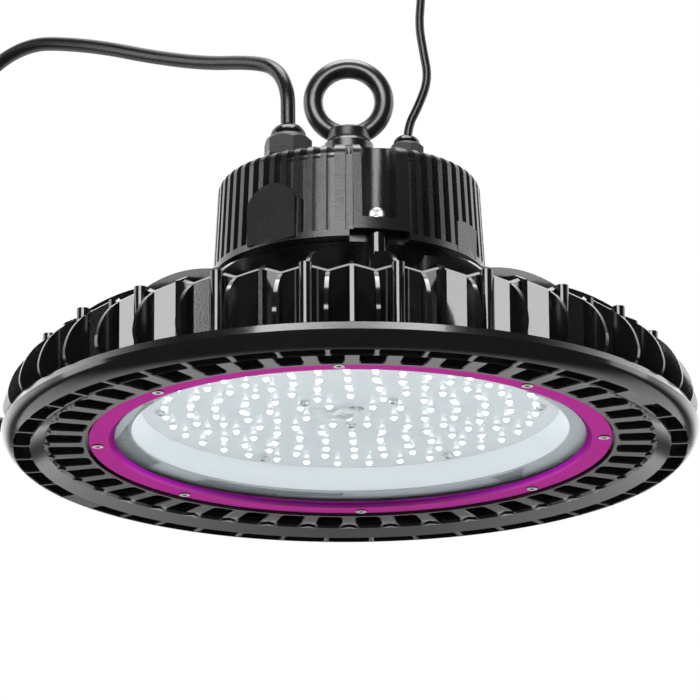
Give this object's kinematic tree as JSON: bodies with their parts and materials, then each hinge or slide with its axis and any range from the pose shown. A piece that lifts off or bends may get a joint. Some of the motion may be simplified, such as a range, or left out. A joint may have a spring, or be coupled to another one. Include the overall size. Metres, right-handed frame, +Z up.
{
  "type": "led grow light",
  "caption": "Round pendant LED grow light: finned black heat sink, bezel with flat glass over an LED board, finned driver on top, lifting eye and two cable glands.",
  "frame": {"origin": "centre of the lifting eye, on the lamp's vertical axis", "axes": "+Z up along the eyebolt's thread, -Y towards the front, where the driver pocket faces, +X to the right of it; the light shines down"},
  "size_m": [0.393, 0.359, 0.272],
  "materials": {
    "black_casting": "die-cast, black powder coat",
    "magenta_bezel": "magenta anodised, satin",
    "bright_steel": "bright plated",
    "clear_glass": "clear, polished",
    "grey_silicone": "soft grey",
    "white_reflector": "white, gloss",
    "white_board": "white solder mask",
    "led_white": "clear domes on white packages",
    "white_wire": "white silicone",
    "black_rubber": "satin black",
    "black_enamel": "black enamel, gloss",
    "steel_zinc": "plated",
    "black_nylon": "moulded black",
    "circuit_green": "solder mask",
    "component_black": "moulded epoxy",
    "wound_copper": "varnished windings",
    "can_sleeve": "printed sleeve left plain"
  },
  "bodies": {
    "hanger": {"eyebolt": "black_enamel", "eyebolt_nut": "steel_zinc"},
    "luminaire": {"base_gasket": "black_rubber", "bezel_ring": "magenta_bezel", "bezel_screws": "bright_steel", "board_leads": "white_wire", "board_pillars": "steel_zinc", "board_screws": "bright_steel", "capacitors": "can_sleeve", "circuit_board": "circuit_green", "circuit_screws": "bright_steel", "coil_tie": "black_nylon", "connector_insert": "black_nylon", "control_cable": "black_rubber", "control_connector": "black_nylon", "control_gland_body": "black_nylon", "control_gland_locknut": "black_nylon", "control_gland_nut": "black_nylon", "control_gland_ring": "black_rubber", "control_gland_seal": "black_rubber", "cover_glass": "clear_glass", "driver_base": "black_casting", "driver_housing": "black_casting", "eyebolt_seal": "black_rubber", "eyebolt_washer": "black_enamel", "filter_choke": "wound_copper", "glass_gasket": "grey_silicone", "heat_sink": "black_casting", "housing_screws": "bright_steel", "housing_washers": "bright_steel", "hub_grommet": "black_rubber", "lead_terminal": "white_board", "led_board": "white_board", "led_chips": "led_white", "mains_cable": "black_rubber", "mains_cable_end": "black_rubber", "mains_coil": "black_rubber", "mains_gland_body": "black_nylon", "mains_gland_locknut": "black_nylon", "mains_gland_nut": "black_nylon", "mains_gland_ring": "black_rubber", "mains_gland_seal": "black_rubber", "mains_plug": "black_nylon", "output_grommet": "black_rubber", "output_lead": "black_rubber", "plug_pins": "steel_zinc", "power_switches": "component_black", "reflector_ring": "white_reflector", "thermal_pad": "grey_silicone", "transformer": "wound_copper"}
  },
  "joints": [
    {"name": "eye_turn", "type": "hinge", "parent": "hanger", "child": "luminaire", "pos_m": [0, 0, -0.025], "axis": [0, 0, 1], "range_deg": [-180, 180]}
  ]
}
